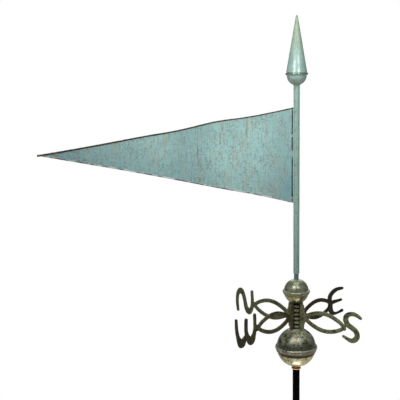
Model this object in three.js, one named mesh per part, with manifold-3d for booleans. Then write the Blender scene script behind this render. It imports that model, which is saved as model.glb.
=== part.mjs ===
// A copper weathervane: a long tapered pennant and a spire that turn on a steel spindle, over a spun
// ball, four cast compass letters, a larger ball and a black mast.
// Millimetres, +Z up. The origin is the middle of the mast's flat foot. North is +Y and east is +X.
import * as THREE from 'three';
import { mergeVertices } from 'three/addons/utils/BufferGeometryUtils.js';
import Module from 'manifold-3d';

const wasm = await Module();
wasm.setup();

// Fits
const touchGap = 0.3;            // left open between two pieces that touch
const runningFit = 0.4;          // all round the spindle, inside the tube that turns on it

// Mast and spindle
const mastDiameter = 19.05;
const mastHeight = 153;
const footChamfer = 1;
const socketDepth = 45;          // the spindle's seat in the top of the mast
const spindleDiameter = 12.7;

// Collar between the mast and the lower ball
const collarFlangeDiameter = 25.8;
const collarFlangeHeight = 3.5;
const collarNeckDiameter = 17.8;
const collarNeckHeight = 3.8;

// Spun balls: a lower cup, and an upper cup whose rolled bead and lip close over it. beadTop and lipDrop
// count from the middle of the ball, and the skirt is the straight band between its two half spheres.
const sheetWall = 1;
const lowerBall = {
  diameter: 104.8,
  skirt: 1.6,
  beadTop: 5.2,
  beadHeight: 11.3,
  beadStand: 4.1,
  lipStand: 1.4,
  lipDrop: 10.4,
  segments: 32,
};
const upperBall = {
  diameter: 66.2,
  skirt: 0.8,
  beadTop: 3.8,
  beadHeight: 7.5,
  beadStand: 3.6,
  lipStand: 1.3,
  lipDrop: 6.7,
  segments: 24,
};

// Compass castings: two crossing plates, each with two open arms and two letters
const hubHeight = 66.8;
const plateThickness = 5.5;
const rootPlateReach = 25;       // radius of the root plate at the ends of the hub
const knuckleLevels = 6;         // rings round the spindle, half of them on each casting
const knuckleWall = 7;
const knuckleGroove = 2.6;       // between one ring and the next
const armOpening = { start: 33, end: 149 };      // radii between which an arm is open
const armBarHeight = 9.6;
const armSpread = 19.7;          // rise of each bar's middle above its ends
const armJoin = 1.5;             // how far the two bars of an arm run into each other at its ends
const rootRun = 8;               // how far a bar runs on into the root plate
const letterRun = { north: 8, east: 2, south: 10, west: 9 };      // and into its letter
const armBend = 0.85;            // below 1 fills the arch out towards its ends
const rootSweep = 1.6;           // how high the root plate's hollow edge stays, in bar heights
const letterHeight = 80;

// Vane: tube, pennant and spire
const vaneLift = 14.5;           // open spindle between the upper ball and the tube
const tubeDiameter = 15.9;
const tubeLength = 533.5;
const tubeCap = 4;
const vaneHeading = 130;         // degrees from east towards north, at rest
const pennantHoist = 249;
const pennantLength = 686;
const pennantTipHeight = 127.1;  // above the pennant's lower corner
const pennantDrop = 93.5;        // from the top of the tube to the pennant's upper corner
const pennantSheet = 1.6;
const pennantTrim = 1;           // how far the cutter reaches past the sheet's end
const pennantHollow = 3.2;       // how far the lower edge bows inwards
const pennantPeak = 212;         // from the tube to where the upper edge stands a little high
const pennantPeakRise = 1.6;     // above the straight line from corner to tip
const pennantPeakHollow = 3;     // how far the upper edge bows inwards on each side of its peak
const pennantWave = 3;           // the sheet's buckle to each side
const pennantBuckles = 2.6;      // half waves from the tube to the tip
const pennantEase = 0.25;        // share of its length over which the buckle grows from the tube
const bowlDiameter = 51.2;
const bowlBelowTubeTop = 11;     // from the bowl's rim down from the top of the tube
const spireRimDiameter = 58.2;
const spireRimHeight = 7.4;
const spireConeHeight = 144.8;
const spireConeDiameter = 54;    // at the rim
const spireTipDiameter = 4.2;
const spireRings = [0, 0.5, 0.97];               // shares of the cone's height
const spireHollow = 0.85;        // the same, for the top of its hollow
const spireWall = 1.5;

// Facets
const roundSides = 24;
const spindleSides = 16;
const ballSteps = 7;             // from the bead to a pole
const ballInnerSteps = 3;
const beadSteps = 5;
const knuckleSteps = 6;          // half of a ring's sides
const bowlSteps = 6;
const armSteps = 12;
const barFacets = 15;
const buckleFacets = 22;
const stepsPerPoint = 2;         // facets of a letter's stroke for each of its points
const bendRoom = 0.8;            // share of a bend's radius that a stroke may fill

// Heights that follow
const collarBase = mastHeight + touchGap;
const collarTop = collarBase + collarNeckHeight + collarFlangeHeight;
const ballHeight = (ball) => ball.diameter + ball.skirt;
const lowerBallMiddle = collarTop + touchGap + ballHeight(lowerBall) / 2;
const hubBase = lowerBallMiddle + ballHeight(lowerBall) / 2 + touchGap;
const hubMiddle = hubBase + hubHeight / 2;
const upperBallMiddle = hubBase + hubHeight + touchGap + ballHeight(upperBall) / 2;
const tubeBase = upperBallMiddle + ballHeight(upperBall) / 2 + vaneLift;
const tubeTop = tubeBase + tubeLength;
const spindleRadius = spindleDiameter / 2;
const spindleFit = spindleRadius + touchGap;     // bore of what is threaded on the spindle
const knuckleReach = spindleFit + knuckleWall;
const knucklePitch = hubHeight / knuckleLevels;
const tubeRadius = tubeDiameter / 2;
const bowlRim = tubeTop - bowlBelowTubeTop;

const materials = {
  blackSteel: { color: 0x060505, roughness: 0.25, metalness: 0.6 },
  brass: { color: 0xa9743a, roughness: 0.35, metalness: 0.9 },
  agedBrass: { color: 0x6b6d52, roughness: 0.45, metalness: 0.7 },
  castBronze: { color: 0x474b38, roughness: 0.6, metalness: 0.5 },
  verdigris: { color: 0x86b3ac, roughness: 0.55, metalness: 0.4 },
  greySteel: { color: 0x6d8683, roughness: 0.4, metalness: 0.8 },
};

function piece(name, geometry, finish) {
  const mesh = new THREE.Mesh(geometry, new THREE.MeshStandardMaterial(materials[finish]));
  mesh.name = name;
  return mesh;
}

// A closed outline of [radius, height] points turned about Z
function turned(outline, segments) {
  const points = outline.map(([radius, height]) => new THREE.Vector2(radius, height));
  return new THREE.LatheGeometry(points, segments).rotateX(Math.PI / 2);
}

// Points on a round stretch from one angle to another, in degrees from straight out
function arc(radius, middle, from, to, steps) {
  return Array.from({ length: steps + 1 }, (_, i) => {
    const angle = THREE.MathUtils.degToRad(from + ((to - from) * i) / steps);
    return [radius * Math.cos(angle), middle + radius * Math.sin(angle)];
  });
}

const angleAt = (radius, across) => THREE.MathUtils.radToDeg(Math.acos(across / radius));

function toSolid(geometry) {
  const bare = geometry.index ? geometry.toNonIndexed() : geometry;
  bare.deleteAttribute('normal');
  bare.deleteAttribute('uv');
  const merged = mergeVertices(bare, 1e-4);
  const vertProperties = new Float32Array(merged.attributes.position.array);
  const triVerts = new Uint32Array(merged.index.array);
  return new wasm.Manifold(new wasm.Mesh({ numProp: 3, vertProperties, triVerts }));
}

// Slivers left by the joins are cleared away to within a hundredth of a millimetre
function toGeometry(solid) {
  const mesh = solid.simplify(0.01).getMesh();
  const geometry = new THREE.BufferGeometry();
  geometry.setAttribute('position', new THREE.BufferAttribute(new Float32Array(mesh.vertProperties), 3));
  geometry.setIndex(new THREE.BufferAttribute(new Uint32Array(mesh.triVerts), 1));
  geometry.computeVertexNormals();
  return geometry;
}

const joined = (solids) => solids.reduce((whole, next) => whole.add(next));

function mast() {
  const radius = mastDiameter / 2;
  const socketFloor = mastHeight - socketDepth;
  return turned([
    [0, 0],
    [radius - footChamfer, 0],
    [radius, footChamfer],
    [radius, mastHeight],
    [spindleFit, mastHeight],
    [spindleFit, socketFloor],
    [0, socketFloor],
  ], roundSides);
}

function collar() {
  const neckRadius = collarNeckDiameter / 2;
  const flangeRadius = collarFlangeDiameter / 2;
  const flangeTop = collarBase + collarFlangeHeight;
  return turned([
    [spindleFit, collarBase],
    [flangeRadius, collarBase],
    [flangeRadius, flangeTop],
    [neckRadius, flangeTop],
    [neckRadius, collarTop],
    [spindleFit, collarTop],
    [spindleFit, collarBase],
  ], roundSides);
}

function spindle() {
  const base = mastHeight - socketDepth + touchGap;
  const top = tubeTop - tubeCap - touchGap;
  return turned([
    [0, base],
    [spindleRadius, base],
    ...arc(spindleRadius, top - spindleRadius, 0, 90, 3),
  ], spindleSides);
}

// The lower cup of a ball: open at its rim, with a hole at the pole for the spindle
function lowerCup(ball, middle) {
  const outer = ball.diameter / 2;
  const inner = outer - sheetWall;
  const centre = middle - ball.skirt / 2;
  const rim = middle - touchGap;
  return turned([
    ...arc(outer, centre, -angleAt(outer, spindleFit), 0, ballSteps),
    [outer, rim],
    [inner, rim],
    ...arc(inner, centre, 0, -angleAt(inner, spindleFit), ballInnerSteps),
    [spindleFit, centre - outer * Math.sin(Math.acos(spindleFit / outer))],
  ], ball.segments);
}

// The upper cup: its rolled bead stands out all round, and its lip closes over the lower cup
function upperCup(ball, middle) {
  const outer = ball.diameter / 2;
  const inner = outer - sheetWall;
  const centre = middle + ball.skirt / 2;
  const beadTop = middle + ball.beadTop;
  const lipEnd = middle - ball.lipDrop;
  const sphereEnd = THREE.MathUtils.radToDeg(Math.asin((beadTop - centre) / outer));
  const bead = Array.from({ length: beadSteps }, (_, i) => {
    const bulge = ball.beadStand * Math.sin((Math.PI * i) / beadSteps);
    const stand = i > 1 ? Math.max(bulge, ball.lipStand) : bulge;
    return [outer + stand, beadTop - (ball.beadHeight * i) / beadSteps];
  }).reverse();
  return turned([
    [outer + touchGap, lipEnd],
    [outer + ball.lipStand, lipEnd],
    [outer + ball.lipStand, beadTop - ball.beadHeight],
    ...bead,
    ...arc(outer, centre, sphereEnd, angleAt(outer, spindleFit), ballSteps).slice(1),
    ...arc(inner, centre, angleAt(inner, spindleFit), 0, ballInnerSteps),
    [inner, middle],
    [outer + touchGap, middle],
    [outer + touchGap, lipEnd],
  ], ball.segments);
}

// A flat bar of changing width along a smooth line: each point is [along, up, width]. Inside a tight
// bend the width gives way, so that the edge doesn't cross itself.
function stroke(points, steps) {
  const line = new THREE.CatmullRomCurve3(points.map((point) => new THREE.Vector3(...point)));
  const left = [];
  const right = [];
  for (let i = 0; i <= steps; i += 1) {
    const at = line.getPointAt(i / steps);
    const way = flatWay(line, i / steps);
    const bend = bendAt(line, i, steps);
    const room = bendRoom / Math.max(Math.abs(bend), 1e-6);
    const leftHalf = bend > 0 ? Math.min(at.z / 2, room) : at.z / 2;
    const rightHalf = bend < 0 ? Math.min(at.z / 2, room) : at.z / 2;
    left.push(new THREE.Vector2(at.x - way.y * leftHalf, at.y + way.x * leftHalf));
    right.unshift(new THREE.Vector2(at.x + way.y * rightHalf, at.y - way.x * rightHalf));
  }
  const shape = new THREE.Shape(left);
  roundEnd(shape, left.at(-1), right[0]);
  right.slice(1).forEach((point) => shape.lineTo(point.x, point.y));
  roundEnd(shape, right.at(-1), left[0]);
  return shape;
}

function flatWay(line, share) {
  const tangent = line.getTangentAt(THREE.MathUtils.clamp(share, 0, 1));
  return new THREE.Vector2(tangent.x, tangent.y).normalize();
}

// How sharply the line turns at a step, positive to the left
function bendAt(line, step, steps) {
  const before = flatWay(line, (step - 0.5) / steps);
  const after = flatWay(line, (step + 0.5) / steps);
  return Math.asin(THREE.MathUtils.clamp(before.cross(after), -1, 1)) / (line.getLength() / steps);
}

function roundEnd(shape, from, to) {
  const middle = from.clone().add(to).multiplyScalar(0.5);
  const start = Math.atan2(from.y - middle.y, from.x - middle.x);
  const steps = 3;
  for (let i = 1; i <= steps; i += 1) {
    const angle = start - (Math.PI * i) / steps;
    const radius = from.distanceTo(to) / 2;
    shape.lineTo(middle.x + radius * Math.cos(angle), middle.y + radius * Math.sin(angle));
  }
}

// The letters as pen strokes, in shares of the letter height: [out from the hub, up, width].
// The first value counts from the radius where an arm's opening ends.
const letters = {
  north: [
    [
      [0.163, 0.45, 0.1], [0.144, 0.19, 0.11], [0.15, -0.02, 0.125], [0.194, -0.18, 0.15],
      [0.312, -0.278, 0.235], [0.437, -0.175, 0.165], [0.487, 0, 0.14], [0.537, 0.175, 0.14],
      [0.6, 0.325, 0.155], [0.706, 0.398, 0.22], [0.82, 0.312, 0.145], [0.869, 0.15, 0.11],
      [0.878, -0.037, 0.105], [0.862, -0.187, 0.095], [0.837, -0.325, 0.085],
    ],
  ],
  east: [
    [
      [0.65, 0.468, 0.09], [0.488, 0.483, 0.11], [0.288, 0.475, 0.14], [0.1, 0.412, 0.165],
      [-0.038, 0.3, 0.19], [-0.063, 0.15, 0.21], [-0.012, 0.025, 0.22],
    ],
    [
      [-0.012, 0.05, 0.22], [-0.025, -0.1, 0.23], [0.03, -0.25, 0.2], [0.15, -0.35, 0.125],
      [0.325, -0.375, 0.08], [0.512, -0.362, 0.08], [0.65, -0.345, 0.105],
    ],
    [[0, 0.05, 0.15], [0.2, 0.062, 0.12], [0.388, 0.06, 0.1], [0.588, 0.06, 0.08]],
  ],
  south: [
    [
      [0.75, 0.4, 0.075], [0.638, 0.456, 0.11], [0.488, 0.488, 0.125], [0.325, 0.456, 0.14],
      [0.2, 0.362, 0.165], [0.175, 0.237, 0.185], [0.263, 0.1, 0.175], [0.437, 0.025, 0.165],
      [0.588, -0.075, 0.175], [0.625, -0.212, 0.175], [0.538, -0.337, 0.165], [0.4, -0.394, 0.135],
      [0.237, -0.362, 0.1], [0.088, -0.312, 0.065],
    ],
  ],
  west: [
    [
      [0.187, 0.437, 0.1], [0.175, 0.187, 0.1], [0.175, 0, 0.11], [0.212, -0.175, 0.15],
      [0.35, -0.375, 0.28], [0.5, -0.24, 0.18], [0.575, -0.062, 0.13], [0.588, 0.125, 0.12],
      [0.581, 0.35, 0.11],
    ],
    [
      [0.62, -0.2, 0.14], [0.788, -0.375, 0.28], [0.93, -0.187, 0.15], [0.988, 0, 0.11],
      [1.019, 0.187, 0.1], [1.031, 0.437, 0.08],
    ],
  ],
};

function letterShapes(name) {
  return letters[name].map((points) => {
    const sized = points.map(([out, up, width]) => [
      armOpening.end + out * letterHeight,
      up * letterHeight,
      width * letterHeight,
    ]);
    return stroke(sized, Math.round(stepsPerPoint * points.length));
  });
}

// One bar of an arm, arched from the root plate to the letter
function armBar(letter, side) {
  const length = armOpening.end - armOpening.start;
  const low = armBarHeight / 2 - armJoin;
  const points = [[armOpening.start - rootRun, side * low, armBarHeight]];
  for (let i = 0; i <= armSteps; i += 1) {
    const rise = armSpread * Math.sin((Math.PI * i) / armSteps) ** armBend;
    points.push([armOpening.start + (length * i) / armSteps, side * (low + rise), armBarHeight]);
  }
  points.push([armOpening.end + letterRun[letter], side * low, armBarHeight]);
  return stroke(points, barFacets);
}

// The plate that an arm grows from, swept out to the arm's bars
function rootPlate() {
  const inner = knuckleReach + touchGap;
  const half = hubHeight / 2;
  const sweep = armBarHeight * rootSweep;
  const shape = new THREE.Shape();
  shape.moveTo(inner, -half);
  shape.lineTo(rootPlateReach, -half);
  shape.quadraticCurveTo(rootPlateReach, -sweep, armOpening.start, -armBarHeight);
  shape.lineTo(armOpening.start, armBarHeight);
  shape.quadraticCurveTo(rootPlateReach, sweep, rootPlateReach, half);
  shape.lineTo(inner, half);
  return shape;
}

// Extrudes a shape drawn in the plane of an arm that points along the heading, in degrees from east
function plateSolid(shape, heading) {
  const up = new THREE.Vector3(0, 0, 1);
  const out = new THREE.Vector3(1, 0, 0).applyAxisAngle(up, THREE.MathUtils.degToRad(heading));
  const across = new THREE.Vector3().crossVectors(out, up);
  const depth = plateThickness;
  const geometry = new THREE.ExtrudeGeometry(shape, { depth, bevelEnabled: false, curveSegments: 5 });
  geometry.translate(0, 0, -depth / 2);
  geometry.applyMatrix4(new THREE.Matrix4().makeBasis(out, up, across));
  geometry.translate(0, 0, hubMiddle);
  return toSolid(geometry);
}

// One ring round the spindle
function knuckle(level) {
  const shape = new THREE.Shape();
  shape.absarc(0, 0, knuckleReach, 0, 2 * Math.PI, false);
  const bore = new THREE.Path();
  bore.absarc(0, 0, spindleFit, 0, 2 * Math.PI, true);
  shape.holes.push(bore);
  const depth = knucklePitch - knuckleGroove;
  const curveSegments = knuckleSteps;
  const geometry = new THREE.ExtrudeGeometry(shape, { depth, bevelEnabled: false, curveSegments });
  geometry.translate(0, 0, hubBase + level * knucklePitch + knuckleGroove / 2);
  return toSolid(geometry);
}

// A casting: two letters on arms, root plates and rings. The two castings slide together: one has its
// rings in the lower half of the hub, and the other in the upper half.
function casting(ends, firstLevel) {
  const levels = knuckleLevels / 2;
  const solids = [];
  for (const { letter, heading } of ends) {
    solids.push(plateSolid(rootPlate(), heading));
    for (const side of [-1, 1]) {
      solids.push(plateSolid(armBar(letter, side), heading));
    }
    for (const shape of letterShapes(letter)) {
      solids.push(plateSolid(shape, heading));
    }
    const tongue = new THREE.Shape();
    const low = firstLevel * knucklePitch - hubHeight / 2;
    const high = low + levels * knucklePitch;
    tongue.moveTo(spindleFit, low);
    tongue.lineTo(rootPlateReach, low);
    tongue.lineTo(rootPlateReach, high);
    tongue.lineTo(spindleFit, high);
    solids.push(plateSolid(tongue, heading));
  }
  for (let i = 0; i < levels; i += 1) {
    solids.push(knuckle(firstLevel + i));
  }
  return joined(solids);
}

// Trims a casting by half a gap where the other casting's bridged half meets it
function trimmed(solid, upperHalf) {
  const reach = knuckleReach + touchGap;
  const slot = new THREE.CylinderGeometry(reach, reach, hubHeight, roundSides).rotateX(Math.PI / 2);
  const shift = (hubHeight - touchGap) / 2 * (upperHalf ? -1 : 1);
  slot.translate(0, 0, hubMiddle + shift);
  return solid.subtract(toSolid(slot));
}

function vaneTube() {
  const bore = spindleRadius + runningFit;
  return turned([
    [bore, tubeBase],
    [tubeRadius, tubeBase],
    [tubeRadius, tubeTop],
    [0, tubeTop],
    [0, tubeTop - tubeCap],
    [bore, tubeTop - tubeCap],
    [bore, tubeBase],
  ], roundSides);
}

// A wavy sheet standing on edge, cut to the long tapered outline
function pennant() {
  const start = tubeRadius + touchGap;
  const tip = start + pennantLength;
  const low = tubeTop - pennantDrop - pennantHoist;
  const front = [];
  const back = [];
  for (let i = 0; i <= buckleFacets; i += 1) {
    const share = i / buckleFacets;
    const bend = pennantWave * Math.sin(pennantBuckles * Math.PI * share) * Math.min(1, share / pennantEase);
    front.push(new THREE.Vector2(start + pennantLength * share, bend - pennantSheet / 2));
    back.unshift(new THREE.Vector2(start + pennantLength * share, bend + pennantSheet / 2));
  }
  const ribbon = new THREE.ExtrudeGeometry(new THREE.Shape([...front, ...back]), {
    depth: pennantHoist, bevelEnabled: false,
  });
  ribbon.translate(0, 0, low);
  const outline = new THREE.Shape();
  const tipHeight = low + pennantTipHeight;
  const high = low + pennantHoist;
  const peakAt = start + pennantPeak;
  const peak = high - ((high - tipHeight) * pennantPeak) / pennantLength + pennantPeakRise;
  const edgeTo = (from, fromHeight, to, toHeight, bow) => outline.quadraticCurveTo(
    (from + to) / 2,
    (fromHeight + toHeight) / 2 + 2 * bow,
    to,
    toHeight,
  );
  outline.moveTo(start - pennantTrim, low);
  outline.lineTo(start, low);
  edgeTo(start, low, tip, tipHeight, pennantHollow);
  edgeTo(tip, tipHeight, peakAt, peak, -pennantPeakHollow);
  edgeTo(peakAt, peak, start, high, -pennantPeakHollow);
  outline.lineTo(start - pennantTrim, high);
  const depth = 4 * (pennantWave + pennantSheet);
  const cutter = new THREE.ExtrudeGeometry(outline, { depth, bevelEnabled: false, curveSegments: 8 });
  cutter.translate(0, 0, -depth / 2);
  cutter.rotateX(Math.PI / 2);
  return toGeometry(toSolid(ribbon).intersect(toSolid(cutter)));
}

// The spire's cup, soldered round the tube
function spireBowl() {
  const outer = bowlDiameter / 2;
  const inner = outer - sheetWall;
  const hole = tubeRadius + touchGap;
  const rim = bowlRim - touchGap;
  return turned([
    ...arc(outer, rim, -angleAt(outer, hole), 0, bowlSteps),
    ...arc(inner, rim, 0, -angleAt(inner, hole), ballInnerSteps),
    [hole, rim - outer * Math.sin(Math.acos(hole / outer))],
  ], roundSides);
}

// The spire's long hollow cone, with a rolled rim over the cup
function spireCone() {
  const rimRadius = spireRimDiameter / 2;
  const rimHalf = spireRimHeight / 2;
  const coneBase = bowlRim + spireRimHeight;
  const tipRadius = spireTipDiameter / 2;
  const slope = (spireConeDiameter / 2 - tipRadius) / spireConeHeight;
  const radiusAt = (height) => spireConeDiameter / 2 - slope * height;
  const rings = spireRings.map((share) => share * spireConeHeight);
  const hollowTop = spireHollow * spireConeHeight;
  const seat = bowlDiameter / 2 - sheetWall;
  return turned([
    [seat, bowlRim],
    [rimRadius - rimHalf, bowlRim],
    ...arc(rimHalf, bowlRim + rimHalf, -45, 45, 2).map(([out, up]) => [rimRadius - rimHalf + out, up]),
    ...rings.map((height) => [radiusAt(height), coneBase + height]),
    ...arc(tipRadius, coneBase + spireConeHeight - tipRadius, 45, 90, 1),
    [0, coneBase + hollowTop + spireWall],
    [radiusAt(hollowTop) - spireWall, coneBase + hollowTop],
    [radiusAt(0) - spireWall, coneBase],
    [seat, bowlRim],
  ], roundSides);
}

const northSouthEnds = [{ letter: 'north', heading: 90 }, { letter: 'south', heading: 270 }];
const eastWestEnds = [{ letter: 'east', heading: 0 }, { letter: 'west', heading: 180 }];
const northSouth = casting(northSouthEnds, 0);
const eastWest = casting(eastWestEnds, knuckleLevels / 2);

const vane = new THREE.Group();
vane.rotation.z = THREE.MathUtils.degToRad(vaneHeading);
vane.add(
  piece('vane_tube', vaneTube(), 'verdigris'),
  piece('pennant', pennant(), 'verdigris'),
  piece('spire_bowl', spireBowl(), 'verdigris'),
  piece('spire_cone', spireCone(), 'verdigris'),
);

const weathervane = new THREE.Group();
weathervane.add(
  piece('mast', mast(), 'blackSteel'),
  piece('collar', collar(), 'brass'),
  piece('lower_ball_bottom', lowerCup(lowerBall, lowerBallMiddle), 'agedBrass'),
  piece('lower_ball_top', upperCup(lowerBall, lowerBallMiddle), 'agedBrass'),
  piece('compass_north_south', toGeometry(trimmed(northSouth, false)), 'castBronze'),
  piece('compass_east_west', toGeometry(trimmed(eastWest, true)), 'castBronze'),
  piece('upper_ball_bottom', lowerCup(upperBall, upperBallMiddle), 'agedBrass'),
  piece('upper_ball_top', upperCup(upperBall, upperBallMiddle), 'agedBrass'),
  piece('spindle', spindle(), 'greySteel'),
  vane,
);

export default weathervane;
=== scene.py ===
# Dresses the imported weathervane: spun copper balls, two compass castings, and a pennant and spire that turn
import math

import bpy
from mathutils import Matrix, Vector, noise


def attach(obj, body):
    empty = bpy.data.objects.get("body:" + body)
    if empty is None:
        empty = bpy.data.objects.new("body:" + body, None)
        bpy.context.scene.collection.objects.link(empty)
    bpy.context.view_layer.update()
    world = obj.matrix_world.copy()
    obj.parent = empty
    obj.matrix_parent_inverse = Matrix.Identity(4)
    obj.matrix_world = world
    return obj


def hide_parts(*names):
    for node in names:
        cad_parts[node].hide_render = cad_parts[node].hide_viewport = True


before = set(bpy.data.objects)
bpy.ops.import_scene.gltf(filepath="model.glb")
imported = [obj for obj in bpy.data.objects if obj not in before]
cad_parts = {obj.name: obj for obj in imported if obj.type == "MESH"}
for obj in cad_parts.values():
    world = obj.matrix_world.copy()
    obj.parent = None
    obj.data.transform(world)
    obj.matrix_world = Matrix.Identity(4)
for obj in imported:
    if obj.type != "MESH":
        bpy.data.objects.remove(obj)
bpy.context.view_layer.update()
mm = 0.001


# Meshes

def makePiece(name, verts, faces, smoothAngle=38):
    mesh = bpy.data.meshes.new(name)
    mesh.from_pydata([Vector(v) * mm for v in verts], [], faces)
    mesh.validate()
    mesh.shade_smooth()
    mesh.set_sharp_from_angle(angle=math.radians(smoothAngle))
    piece = bpy.data.objects.new(name, mesh)
    bpy.context.scene.collection.objects.link(piece)
    return piece


def fitPiece(piece, body, slot, material, *nodes):
    piece.data.materials.clear()
    piece.data.materials.append(material)
    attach(piece, body)
    if nodes:
        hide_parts(*nodes)
    print("made", piece.name, len(piece.data.polygons), "faces")
    return piece


def easeCorners(outline, ease, steps=3):
    # Rounds the sharp corners of a closed outline
    eased = []
    for i, point in enumerate(outline):
        here = Vector(point)
        before = Vector(outline[i - 1]) - here
        after = Vector(outline[(i + 1) % len(outline)]) - here
        onAxis = here.x < 1e-6
        if onAxis or before.length < 1e-6 or after.length < 1e-6 or before.angle(-after) < math.radians(25):
            eased.append(here)
            continue
        cutBefore = here + before.normalized() * min(ease, before.length * 0.45)
        cutAfter = here + after.normalized() * min(ease, after.length * 0.45)
        for step in range(steps + 1):
            t = step / steps
            eased.append(cutBefore * (1 - t) ** 2 + here * 2 * t * (1 - t) + cutAfter * t ** 2)
    return eased


def turned(outline, sides):
    # Turns a closed outline of (radius, height) about Z, counter-clockwise from the bottom outside
    verts = []
    rings = []
    for radius, height in outline:
        if radius < 1e-6:
            rings.append([len(verts)] * sides)
            verts.append((0, 0, height))
            continue
        rings.append(list(range(len(verts), len(verts) + sides)))
        for side in range(sides):
            angle = math.tau * side / sides
            verts.append((radius * math.cos(angle), radius * math.sin(angle), height))
    faces = []
    for low, high in zip(rings, rings[1:] + rings[:1]):
        for side in range(sides):
            after = (side + 1) % sides
            corners = [low[side], low[after], high[after], high[side]]
            corners = list(dict.fromkeys(corners))
            if len(corners) > 2:
                faces.append(corners)
    return verts, faces


def spin(name, outline, sides):
    return makePiece(name, *turned(outline, sides))


def capTube(rings, sides):
    # The faces of a closed bar whose rings of points follow one another
    faces = [list(range(sides)), list(range(rings * sides - 1, rings * sides - 1 - sides, -1))]
    for a in range((rings - 1) * sides):
        b = a - a % sides + (a + 1) % sides
        faces.append([a, a + sides, b + sides, b])
    return faces


def arcPoints(radius, middle, start, end, steps):
    points = []
    for step in range(steps + 1):
        angle = math.radians(start + (end - start) * step / steps)
        points.append((radius * math.cos(angle), middle + radius * math.sin(angle)))
    return points


def handWork(piece, depth, scale, seed=0.0, swell=0.0):
    # Small dents and swellings left by the hammer and the spinning tool, in millimetres
    moved = []
    for vertex in piece.data.vertices:
        at = vertex.co * scale + Vector((seed, seed, seed))
        moved.extend(vertex.co + vertex.normal * ((noise.noise(at) * depth + swell) * mm))
    piece.data.vertices.foreach_set("co", moved)
    piece.data.update()


def smoothLine(points, count):
    # A centripetal curve through the points, cut into even steps
    line = [Vector(point) for point in points]
    line = [line[0] * 2 - line[1]] + line + [line[-1] * 2 - line[-2]]
    fine = []
    for a, b, c, d in zip(line, line[1:], line[2:], line[3:]):
        stepA, stepB, stepC = (max((q - p).length, 1e-6) ** 0.5 for p, q in ((a, b), (b, c), (c, d)))
        startPull = ((b - a) / stepA - (c - a) / (stepA + stepB) + (c - b) / stepB) * stepB
        endPull = ((c - b) / stepB - (d - b) / (stepB + stepC) + (d - c) / stepC) * stepB
        square = (c - b) * 3 - startPull * 2 - endPull
        cube = (b - c) * 2 + startPull + endPull
        fine += [b + startPull * t + square * t ** 2 + cube * t ** 3 for t in (i / 24 for i in range(24))]
    fine.append(line[-2])
    reach = [0.0]
    for p, q in zip(fine, fine[1:]):
        reach.append(reach[-1] + (q.xy - p.xy).length)
    even = []
    place = 0
    for i in range(count + 1):
        goal = reach[-1] * i / count
        while place < len(reach) - 2 and reach[place + 1] < goal:
            place += 1
        share = (goal - reach[place]) / max(reach[place + 1] - reach[place], 1e-9)
        even.append(fine[place].lerp(fine[place + 1], min(max(share, 0), 1)))
    return even


# Shader groups

class Wiring:
    # A node tree and the small steps that wire it
    def __init__(self, tree):
        self.tree = tree

    def put(self, kind, sockets=None, **settings):
        node = self.tree.nodes.new(kind)
        for key, value in settings.items():
            setattr(node, key, value)
        for label, value in (sockets or {}).items():
            if isinstance(value, bpy.types.NodeSocket):
                self.tree.links.new(value, node.inputs[label])
            else:
                node.inputs[label].default_value = value
        return node

    def calc(self, operation, a, b=0.0, c=0.0, clamp=False):
        sockets = {0: a, 1: b, 2: c}
        return self.put("ShaderNodeMath", sockets, operation=operation, use_clamp=clamp).outputs[0]

    def times(self, a, b):
        return self.calc("MULTIPLY", a, b)

    def add(self, a, b):
        return self.calc("ADD", a, b)

    def less(self, a, b):
        return self.calc("SUBTRACT", a, b)

    def fade(self, value, low, high, start=0.0, end=1.0):
        sockets = {"Value": value, "From Min": low, "From Max": high, "To Min": start, "To Max": end}
        return self.put("ShaderNodeMapRange", sockets, interpolation_type="SMOOTHSTEP").outputs["Result"]

    def grain(self, place, scale, detail=2.0, roughness=0.5):
        sockets = {"Vector": place, "Scale": scale, "Detail": detail, "Roughness": roughness}
        return self.put("ShaderNodeTexNoise", sockets).outputs


class Group(Wiring):
    # Takes a vector and named values, and puts out one value
    def __init__(self, name, output, **inputs):
        super().__init__(bpy.data.node_groups.new(name, "ShaderNodeTree"))
        addSocket = self.tree.interface.new_socket
        addSocket(name="Vector", in_out="INPUT", socket_type="NodeSocketVector")
        for label, value in inputs.items():
            socket = addSocket(name=label.capitalize(), in_out="INPUT", socket_type="NodeSocketFloat")
            socket.default_value = value
        addSocket(name=output, in_out="OUTPUT", socket_type="NodeSocketFloat")
        self.place, *self.given = self.put("NodeGroupInput").outputs[:len(inputs) + 1]
        self.result = self.put("NodeGroupOutput").inputs[output]

    def finish(self, value):
        self.tree.links.new(value, self.result)
        return self.tree


def buildClouds():
    g = Group("patinaClouds", "Mask", scale=40.0, balance=0.5, softness=0.15)
    scale, balance, softness = g.given
    cloud = g.grain(g.place, scale, 5.0, 0.6)["Fac"]
    return g.finish(g.fade(cloud, g.less(balance, softness), g.add(balance, softness)))


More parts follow.
